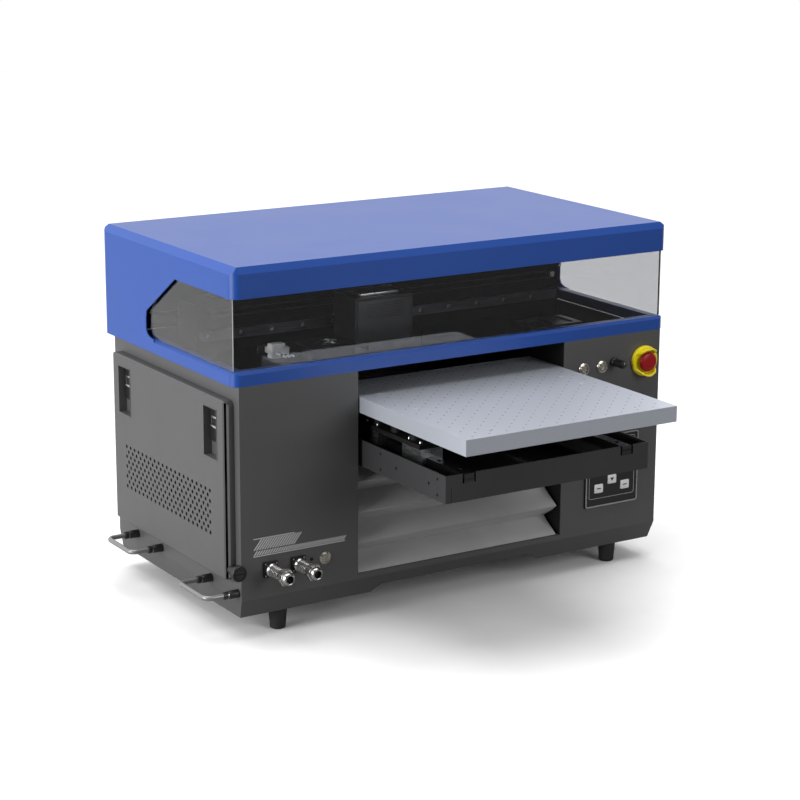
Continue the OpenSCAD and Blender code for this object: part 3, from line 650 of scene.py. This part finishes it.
def stop_switch():
    """Yellow disc with a scalloped lip above and below, and the red mushroom."""
    shroud = Form(YELLOW)
    shroud.turned((STOP_X, 0, STOP_Z), FORWARD, [(0, 11), (0, 28.4), (1, 29), (5.6, 29), (7, 27.6), (7, 8.2),
                                                 (-24, 8.2), (-24, 11)], steps=64)
    span, count = 116, 26
    for middle in (90, 270):
        walls = []
        for i in range(count + 1):
            t = i / count
            angle = math.radians(middle - span / 2 + span * t)
            swell = math.sin(math.pi * t)
            rise = min(LIP_BASE + 17 * swell ** 0.55 - 1.6 * math.cos(6 * math.pi * t) * swell, LIP_TOP)
            inner = LIP_RADIUS - LIP_THICK
            corners = ((LIP_RADIUS, LIP_BASE), (LIP_RADIUS, rise - 0.6), (LIP_RADIUS - 0.8, rise),
                       (LIP_RADIUS - 2.4, rise), (inner, rise - 0.6), (inner, LIP_BASE))
            walls.append([shroud.bm.verts.new((STOP_X + radius * math.cos(angle), -depth,
                                               STOP_Z + radius * math.sin(angle)))
                          for radius, depth in corners])
        faces = [shroud.bm.faces.new(walls[0]), shroud.bm.faces.new(walls[-1])]
        for near, far in zip(walls, walls[1:]):
            faces += shroud.between(near, far)
        shroud.keep(faces, 0)
    shroud.made("stop_shroud", "cabinet", "yellow_plastic", ["estop_guard"], 40)
    mushroom = Form(RED)
    mushroom.turned((STOP_X, 0, STOP_Z), FORWARD, [
        (-18, 0), (-18, 7.6), (11.5, 7.6), (12.6, 16), (13.2, 18.4), (14.6, 19), (16.6, 18.6), (18.6, 16.6),
        (19.6, 13), (20, 8), (20, 0)], steps=48)
    mushroom.made("stop_mushroom", "estop_button", "red_plastic", ["estop_button"], 50)


SELECTOR = (342, 401)


def selector():
    """Small round knob with a collar, finger ribs and an index line."""
    form = Form(BLACK_PLASTIC, PALE_GREY_AND_HIGHLIGHT)
    x, z = SELECTOR
    form.turned((x, 0, z), FORWARD, [(-12, 0), (-12, 4.9), (0.4, 4.9), (0.4, 9.4), (3.4, 9.4), (4.4, 8),
                                     (6, 7), (7, 7.2), (30, 6.6), (32, 6), (33, 4.6), (33, 0)])
    form.block((x - 0.6, -33.1, z + 0.4), (x + 0.6, -32.6, z + 4.6), 1)
    form.made("selector_grip", "selector_knob", "black_plastic", ["selector_knob"])
    grown("selector_ribs", RIBS, [(x, -18, z)], "front", "selector_knob", "black_plastic", Ribs=22,
          Ring_Radius=0.0069, Rib_Size=(0.0012, 0.0009, 0.021))


# Edges of the keypad (x, z, x, z), the middle of each key, and how far the pad stands off the front
PAD = (281, 124, 403, 263)
KEYS = {"key_left": (311.5, 159.5), "key_down": (342.5, 174), "key_right": (373, 159.5),
        "key_up": (342.5, 204)}
PAD_FACE = -3.9


def framed(form, outer, inset, y_front, y_back, finish):
    """A thin rounded frame lying on the front, made of an outer and an inner outline."""
    outlines = [round_rect(outer[0] + d, outer[1] + d, outer[2] - d, outer[3] - d, max(5 - d, 1.2))
                for d in (0, inset)]
    rings = [[form.bm.verts.new((u, y, v)) for u, v in outline]
             for y in (y_back, y_front) for outline in outlines]
    faces = []
    for a, b in ((0, 2), (2, 3), (3, 1), (1, 0)):
        faces += form.between(rings[a], rings[b])
    form.keep(faces, finish)


def control_pad():
    """Metal rim, printed outlines and key marks of the keypad."""
    form = Form(ZINC, PALE_GREY_AND_HIGHLIGHT)
    framed(form, PAD, 2.6, -4.9, PAD_FACE, 0)
    framed(form, [PAD[0] + 8, PAD[1] + 16, PAD[2] - 8, PAD[3] - 8], 0.7, -4.12, PAD_FACE, 1)
    for x in (300, 342.5, 385):
        form.turned((x, PAD_FACE, 243), FORWARD, [(0, 0), (0, 2.6), (0.8, 2.2), (1, 0)], 1, 16)
    form.made("keypad_rim", "cabinet", "steel")
    for name, (x, z) in KEYS.items():
        cap = Form(WHITE, BLACK_PLASTIC)
        cap.prism(round_rect(x - 10, z - 8.5, x + 10, z + 8.5, 2), "y", -2.6, -5, 0, 0.5)
        if name in ("key_down", "key_up"):
            tip = -3.6 if name == "key_down" else 3.6
            cap.prism([(x - 4.4, z - tip * 0.8), (x + 4.4, z - tip * 0.8), (x, z + tip)], "y", -5, -5.12, 1)
        else:
            cap.block((x - 4.6, -5.12, z - 1), (x + 4.6, -5, z + 1), 1)
        cap.made(name + "_cap", name, "white_plastic", [name])


def hatched_strip():
    """A plain strip of slanted bars between two lines, with a longer, thinner strip below it."""
    form = Form(PALE_GREY_AND_HIGHLIGHT)
    lean, pitch, thick = 0.8, 5.2, 2.6

    def bars(x0, x1, z0, z1):
        x = x0
        while x + (z1 - z0) * lean + thick < x1:
            top = (z1 - z0) * lean
            form.prism([(x, z0), (x + thick, z0), (x + thick + top, z1), (x + top, z1)], "y", -0.25, 0.1)
            x += pitch

    bars(-426, -330, 160, 179)
    bars(-426, -236, 150.5, 158)
    form.block((-426, -0.25, 179.6), (-345, 0.1, 181))
    form.block((-426, -0.25, 148), (-243, 0.1, 149.4))
    form.made("hatched_strip", "cabinet", "steel")


# ---------------------------------------------------------------- lift, bed and bellows

BED_CENTRE = 5.5
TRAY_HALF_WIDTH = 212


def bellows_curtain():
    """Folded curtain below the lift frame: seven half pleats with rounded edges that sag a little."""
    low, high = node_span("bellows")
    count, columns, rows, thick = 7, 36, 9, 1.3
    height = (high.z - low.z) / count
    front, back = 5.6, 45.6
    section = []
    for i in range(count):
        ya, yb = (front, back) if i % 2 == 0 else (back, front)
        for k in range(rows):
            t = k / rows
            eased = t - 0.022 * math.sin(2 * math.pi * t)
            bow = 1.5 * math.sin(math.pi * t)
            section.append((ya + (yb - ya) * eased, low.z + height * (i + t) - bow * 0.6, t))
    section.append((back if count % 2 else front, high.z, 0))
    form = Form(CURTAIN)
    sheets = []
    for offset in (0.0, thick):
        grid = []
        for y, z, t in section:
            line = []
            for c in range(columns + 1):
                s = c / columns
                wave = 0.55 * math.sin(s * 9.3 + z * 0.071) * math.sin(math.pi * t)
                dip = -0.9 * math.sin(math.pi * s) * math.sin(math.pi * t)
                at_z = min(max(z + dip + wave, low.z + 0.05), high.z)
                line.append(form.bm.verts.new((low.x + (high.x - low.x) * s, y + wave * 0.7 + offset, at_z)))
            grid.append(line)
        sheets.append(grid)
    faces = []
    near, far = sheets
    for grid in sheets:
        for line, following in zip(grid, grid[1:]):
            faces += form.between(line, following, closed=False)
    for c in (0, columns):
        faces += form.between([line[c] for line in near], [line[c] for line in far], closed=False)
    for r in (0, -1):
        faces += form.between(near[r], far[r], closed=False)
    form.keep(faces, 0)
    piece = form.made("bellows_curtain", None, "bellows_cloth", (), 60)
    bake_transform(piece)
    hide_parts("bellows")


def bed_details():
    """Drilled pattern, pale screws and edge lines of the work bed."""
    low, high = node_span("bed_plate")
    half_pitch, margin = 17.0, 15.0
    across = int((high.x - low.x - 2 * margin) / half_pitch)
    along = int((high.y - low.y - 2 * margin) / half_pitch)
    x0 = (low.x + high.x - across * half_pitch) / 2
    y0 = (low.y + high.y - along * half_pitch) / 2
    grid = [(x0 + i * half_pitch, y0 + j * half_pitch, high.z) for i in range(across + 1)
            for j in range(along + 1) if (i + j) % 2 == 0]
    grown("bed_drilled_holes", HOLES, grid, "up", "bed", "bed_aluminium",
          Hole_Radius=0.0014, Disc_Height=0.00008)
    middle = (low.x + high.x) / 2
    fixings = [(middle + s * 176, y, high.z) for s in (-1, 1) for y in (6, -54, -114)]
    screwed("bed_fixing_screws", WHITE_SCREWS, fixings, "up", "bed", "steel", 3.2, 0.4)
    form = Form(BED_TOP)
    for start, end in ((low.x - 0.1, low.x + 0.2), (high.x - 0.2, high.x + 0.1)):
        form.block((start, low.y + 6, high.z - 15.2), (end, high.y - 6, high.z - 13.4))
    form.made("bed_edge_lines", "bed", "bed_aluminium")


def tray_details():
    """Rail bolts, corner seam, side rivets, edge brass and cross bar covers of the lifting tray."""
    rails_low, rails_high = node_span("bed_rails")
    rail_x = [rails_low.x + 10, rails_high.x - 10]
    bolts = [(x, -235 + i * 60, rails_high.z - 5.6) for x in rail_x for i in range(11)]
    screwed("rail_bolts", STEEL_SCREWS, bolts, "up", "lift", "steel", 3.8, 3.4)
    low, high = node_span("lift_frame")
    tray_left, tray_right = BED_CENTRE - TRAY_HALF_WIDTH, BED_CENTRE + TRAY_HALF_WIDTH
    form = Form(VOID, AMBER, ZINC)
    form.block((tray_left + 11, low.y - 0.12, low.z + 0.5), (tray_left + 11.9, low.y + 0.1, high.z - 22), 0)
    form.block((tray_right + 0.02, low.y + 9, 288), (tray_right + 0.4, low.y + 74, 297), 1)
    for y in (-215, 70):
        form.block((tray_left + 3, y + 1, 292), (tray_right - 3, y + 25, 292.8), 2, 0.3)
    form.made("tray_trim", "lift", "graphite_paint")
    rivets = [(tray_left, y, z) for y in (-240, -60) for z in (288, 316)]
    screwed("tray_rivets", BLACK_SCREWS, rivets, "left", "lift", "graphite_paint", 2.6, 0.9)
    cradle_bolts = [(BED_CENTRE + s * 165 + d, y + e, 349) for s in (-1, 1) for y in (-150, -10)
                    for d in (-15, 15) for e in (12, 48)]
    screwed("cradle_bolts", STEEL_SCREWS, cradle_bolts, "up", "bed", "steel", 3.2, 3)


# ---------------------------------------------------------------- hood and what is under it

def hood_lining():
    """Near-black sheets inside the hood, cut round the window: painted shade for the hood's dark inside."""
    high = node_span("hood_shell")[1]
    inner_x, top, rear = high.x - 2.4, high.z - 2.5, high.y - 2.5
    shoulder, slope, corner = 13, 12, 17
    ledge, window_head = 478, 603.5
    form = Form(BLACK_AND_HOOD_SHADE)
    form.block((-inner_x + shoulder, 10, top - 0.4), (inner_x - shoulder, rear - shoulder, top))
    form.block((-inner_x + corner, rear - 0.4, ledge), (inner_x - corner, rear, top - slope))
    form.block((-inner_x + corner, 2.6, window_head), (inner_x - corner, 3.0, top - slope - 1))
    cut = [(corner, window_head), (216, window_head), (333, 527), (336, 514), (336, 492), (332, 483),
           (322, ledge), (rear - corner, ledge), (rear - corner, top - slope), (corner, top - slope)]
    for side in (-1, 1):
        form.prism(cut, "x", side * inner_x, side * (inner_x - 0.4))
    form.made("hood_lining", "hood", "black_paint")


def window_trim():
    """Pale strips down the smoked sheet's front corners, a painted highlight where it bends, and the clips
    that hold the sheet.
    """
    low, high = node_span("window")
    form = Form(PALE_GREY_AND_HIGHLIGHT, BLACK_COAT)
    # Pale strips down the front corners: painted highlight on the sheet's bends.
    for side in (-1, 1):
        x = side * (high.x - 0.7)
        form.block((x - 0.7, low.y - 0.5, low.z + 0.4), (x + 0.7, low.y + 0.7, 601.6), 0, 0.25)
    for x in range(-360, 361, 120):
        form.block((x - 12, low.y + 3.05, 603), (x + 12, low.y + 4.6, 611), 1, 0.4)
    form.made("window_trim", "hood", "smoked_window")


def hood_fixings():
    """Screws across the hood's rear."""
    hood_rear = node_span("hood_shell")[1].y
    rear = [(x, hood_rear, z) for x in (-420, -210, 0, 210, 420) for z in (490, 630)]
    screwed("hood_rear_screws", BLACK_SCREWS, rear, "rear", "hood", "black_paint", 3.5, 1.5)


def gantry_details():
    """Bolts along the cross rail, cover strips and the cable channel."""
    low, high = node_span("gantry_rail")
    bolts = [(-408 + i * 62.7, low.y + 5.5, (low.z + high.z) / 2) for i in range(12)]
    screwed("gantry_bolts", STEEL_SCREWS, bolts, "front", "cabinet", "steel", 3.8, 2.8)
    beam_top = node_span("gantry_beam")[1].z
    form = Form(BLACK_COAT)
    form.block((-380, 214, beam_top), (330, 256, beam_top + 3), 0, 0.8)
    for x in range(-370, 281, 40):
        form.block((x, 216, beam_top + 3), (x + 34, 254, beam_top + 14), 0, 1.6)
    form.made("cable_channel", "cabinet", "black_plastic")


def head_details():
    """Cover plate, vents and connectors of the print head and the lamp."""
    low, high = node_span("print_head")
    form = Form(TRAY_COAT, BLACK_PLASTIC, ZINC)
    form.block((low.x + 6, low.y - 1.6, 476), (high.x - 6, low.y + 0.2, high.z - 6), 0, 0.7)
    for i in range(7):
        z = 520 + i * 4
        form.block((low.x + 24, low.y - 2.2, z), (high.x - 24, low.y - 1.2, z + 1.8), 1)
    form.block((low.x + 20, low.y + 16, high.z), (high.x - 20, low.y + 46, high.z + 5), 2, 1)
    lamp_low, lamp_high = node_span("uv_lamp")
    form.turned((lamp_low.x + 58, 126, lamp_high.z - 0.2), Z_AXIS,
                [(0, 20), (0, 24), (1.6, 24), (2.2, 23), (2.2, 21), (1.6, 20)], 1, 48)
    form.made("head_cover", "carriage", "black_plastic")
    grown("lamp_guard", RINGS, [(lamp_low.x + 58, 126, lamp_high.z + 1)], "up", "carriage", "steel", Rings=3,
          Pitch=0.0064, Wire=0.0005)
    ink_block()


def ink_block():
    """White block with a smaller one at its side, a stub behind and three short tubes with black collars."""
    low, high = node_span("ink_manifold")
    x, y, z = low.x, 119, low.z
    form = Form(WHITE, BLACK_PLASTIC)
    form.block((x, y, z), (x + 27, y + 18, z + 26), 0, 1.6)
    form.block((x + 27, y + 2, z + 3), (high.x, y + 16, z + 18), 0, 1.0)
    form.block((x + 12, y + 17, z + 2), (x + 20, high.y, z + 12), 0, 0.6)
    for i in range(3):
        form.turned((x + 11 + i * 8, y + 2, z + 8), FORWARD, [
            (0, 0), (0, 3.4), (6, 3.4), (7, 2.2), (30, 2.1), (32, 1.3), (32, 0)], 0, 18)
        form.turned((x + 11 + i * 8, y - 16, z + 8), FORWARD, [(0, 0), (0, 3.1), (4, 3.1), (4, 0)], 1, 18)
    form.made("ink_block", "carriage", "white_plastic", ["ink_manifold"])


# ---------------------------------------------------------------- sides and rear

HANDLE_Z, HANDLE_RADIUS, HANDLE_BEND = 84, 4.5, 13.0
LEG_LENGTH, COLLAR_REACH = 92, 62
LEG_INSET = 7.5


def carry_handle(name):
    """Bent tube handle with a stepped black collar and a bright rim on each leg."""
    low, high = node_span(name)
    out = -1 if "left" in name else 1
    grip_x = low.x + HANDLE_RADIUS if out < 0 else high.x - HANDLE_RADIUS
    legs = (low.y + LEG_INSET, high.y - LEG_INSET)
    leg_end, corner_x = grip_x - out * LEG_LENGTH, grip_x - out * HANDLE_BEND
    path = [(leg_end, legs[0], HANDLE_Z)]
    for y, start in ((legs[0] + HANDLE_BEND, -90), (legs[1] - HANDLE_BEND, 0)):
        path += [(corner_x + out * u, y + v, HANDLE_Z)
                 for u, v in arc((0, 0), HANDLE_BEND, start, start + 90, 8)]
    path.append((leg_end, legs[1], HANDLE_Z))
    form = Form(HANDLE_GREY, BLACK_PLASTIC, NICKEL)
    form.swept(path, HANDLE_RADIUS)
    outward = X_AXIS * out
    for y in legs:
        base = (grip_x - out * COLLAR_REACH, y, HANDLE_Z)
        form.turned(base, outward, [(-2, 4.4), (-2, 7.5), (18, 7.5), (19, 7), (19, 6), (22, 5.9), (22, 6.9),
                                    (28, 6.9), (29, 6.2), (29, 4.4)], 1, 24)
        form.turned(base, outward, [(19.4, 4.4), (19.4, 6.3), (21.2, 6.3), (21.2, 4.4)], 2, 24)
    form.made(name + "_tube", name, "handle_steel", [name])


def lock():
    """Round turn lock with a ring groove and a slot."""
    low, high = node_span("lock_knob")
    x, z = (low.x + high.x) / 2, (low.z + high.z) / 2
    form = Form(BLACK_PLASTIC, VOID)
    form.turned((x, 0, z), FORWARD, [
        (-31, 0), (-31, 3.95), (-18.8, 3.95), (-18.8, 8), (3, 8), (3, 13.4), (3.8, 14.2), (11.6, 14.2),
        (12.6, 13.4), (12.6, 11), (11.8, 10.8), (11.8, 9.8), (13.4, 9.4), (13.5, 0)])
    form.block((x - 8.6, -13.6, z - 1.4), (x + 8.6, -13.2, z + 1.4), 1)
    form.made("turn_lock", "lock_knob", "black_plastic", ["lock_knob"])


def panel_details():
    """Pocket frames of the service panel; latch plates."""
    face = node_span("service_panel")[0].x
    form = Form(GRAPHITE)
    pockets = [73, 415]
    for y in pockets:
        for z0, z1, y0, y1 in ((314.4, 316, y - 25, y + 25), (404, 405.6, y - 25, y + 25),
                               (316, 404, y - 25, y - 23.5), (316, 404, y + 23.5, y + 25)):
            form.block((face - 0.7, y0, z0), (face + 0.2, y1, z1), 0, 0.25)
    form.made("panel_trim", "service_panel", "graphite_paint")
    for name, y in zip(("latch_front", "latch_rear"), pockets):
        latch_low, latch_high = node_span(name)
        plate = Form(ZINC, BLACK_COAT, VOID)
        plate.prism(round_rect(latch_low.y, latch_low.z, latch_high.y, latch_high.z, 3), "x", latch_low.x,
                    latch_high.x - 0.2, 1, 0.6)
        plate.block((latch_low.x - 0.5, y - 12, 366), (latch_low.x + 0.1, y + 12, 387), 0, 0.25)
        plate.block((latch_low.x - 0.6, y - 8.6, 369), (latch_low.x, y + 8.6, 384), 2, 0.1)
        plate.block((latch_low.x - 3.2, y - 8.6, 368), (latch_low.x - 0.3, y + 8.6, 371.4), 0, 0.8)
        plate.made(name + "_plate", name, "steel", [name])


REAR_FAN, SPOKE_REACH, INLET_X = 330, 44, -348.5


def rear_details():
    """Fan guard, inlet pins, blank rating plate, hinge screws and sheet screws."""
    rear = node_span("rear_panel")[1].y
    fan = REAR_FAN
    grown("rear_fan_guard", RINGS, [(fan, rear + 2.2, fan)], "rear", "cabinet", "steel", Rings=6,
          Pitch=0.0066, Wire=0.0008)
    form = Form(ZINC, BLACK_PLASTIC, NICKEL)
    for turn in (45, 135):
        c, s = (f(math.radians(turn)) * SPOKE_REACH for f in (math.cos, math.sin))
        form.swept([(fan + c * t, rear + lift, fan + s * t)
                    for t, lift in ((-1, 0.9), (-0.9, 1.9), (0.9, 1.9), (1, 0.9))], 1.0, 0, 8)
    for dx, z in ((-5, 152), (0, 157), (5, 152)):
        x = INLET_X + dx
        form.block((x - 0.7, rear - 15, z), (x + 0.7, rear - 6, z + 4), 2, 0.2)
    form.prism(round_rect(-333, 146, -317, 162, 2), "y", rear + 2.9, rear + 5, 1, 0.6)
    form.prism(round_rect(-60, 300, 60, 360, 4), "y", rear, rear + 0.8, 0, 0.2)
    form.made("rear_fittings", "cabinet", "steel")
    screws = [(x, rear, z) for x in (-430, -215, 0, 215, 430) for z in (90, 425)]
    screws += [(fan + a, rear, fan + b) for a in (-46, 46) for b in (-46, 46)]
    screws += [(x + d, rear + 2, 421) for x in (-300, 300) for d in (-28, -10, 10, 28)]
    screwed("rear_screws", BLACK_SCREWS, screws, "rear", "cabinet", "black_paint", 3.2, 1.4)
    right = node_span("right_wall")[1].x
    side = [(right, y, z) for y in (20, 245, 470) for z in (130, 430)]
    screwed("right_screws", BLACK_SCREWS, side, "right", "cabinet", "black_paint", 3.2, 1.4)


gland_pair()
blank_plug()
button_pair()
stop_switch()
selector()
control_pad()
hatched_strip()
bellows_curtain()
bed_details()
tray_details()
hood_lining()
window_trim()
hood_fixings()
gantry_details()
head_details()
for handle_name in ("handle_left_front", "handle_left_rear", "handle_right_front", "handle_right_rear"):
    carry_handle(handle_name)
lock()
panel_details()
rear_details()


# ---------------------------------------------------------------- floor and light

def floor_sheet():
    """A flat pale floor, large enough for every view."""
    half = 9.0
    mesh = bpy.data.meshes.new("studio_floor")
    corners = ((-half, -half), (half, -half), (half, half), (-half, half))
    mesh.from_pydata([(x, y, -0.0004) for x, y in corners], [], [(0, 1, 2, 3)])
    material = coated("floor_paper", (0.86, 0.86, 0.86), (0.9, 0.9, 0.9), 0.8, 300.0, 0.00002)
    tree = material.node_tree
    where = joined(tree, "ShaderNodeSeparateXYZ", Vector=object_place(tree))
    grey = ranged(tree, where.outputs["Y"], -0.8, 0.7, 0.10, 0.55)
    dim = joined(tree, "ShaderNodeBsdfDiffuse", Color=grey)
    direct = joined(tree, "ShaderNodeLightPath").outputs["Is Camera Ray"]
    seen = joined(tree, "ShaderNodeMixShader", i_0=direct,
                  i_1=dim.outputs["BSDF"], i_2=tree.nodes["Principled BSDF"].outputs["BSDF"])
    tree.links.new(seen.outputs["Shader"], tree.nodes["Material Output"].inputs["Surface"])
    mesh.materials.append(material)
    in_scene("studio_floor", mesh)


def soft_light(kind, name, place, aim, strength, **shape):
    """A light at a place, facing a point."""
    data = bpy.data.lights.new(name, kind)
    data.energy = strength
    for key, value in shape.items():
        setattr(data, key, value)
    light = in_scene(name, data)
    light.location = place
    light.rotation_mode = "QUATERNION"
    light.rotation_quaternion = (Vector(aim) - Vector(place)).to_track_quat("-Z", "Y")


def studio_world():
    """White to look at, bright behind the machine and dim in front of it."""
    world = bpy.data.worlds.new("studio")
    world.use_nodes = True
    tree = world.node_tree
    where = joined(tree, "ShaderNodeTexCoord")
    parts = joined(tree, "ShaderNodeSeparateXYZ", Vector=where.outputs["Generated"])
    depth = ranged(tree, parts.outputs["Y"], -0.45, 0.25, 0.10, 1.0)
    direct = joined(tree, "ShaderNodeLightPath").outputs["Is Camera Ray"]
    tree.links.new(maths(tree, "MAXIMUM", depth, direct), tree.nodes["Background"].inputs["Strength"])
    tree.nodes["Background"].inputs["Color"].default_value = (1.0, 1.0, 1.0, 1.0)
    bpy.context.scene.world = world


floor_sheet()
studio_world()
soft_light("SUN", "top_light", (0, 0.3, 3), (0, 0, 0), 2.1, angle=math.radians(50))
soft_light("AREA", "left_light", (-3.4, -0.3, 0.9), (0, 0, 0.2), 105, size=2.2)
soft_light("AREA", "front_light", (1.4, -3.6, 1.8), (0, 0, 0.3), 56, size=2.0)
bpy.context.scene.view_settings.view_transform = "Standard"
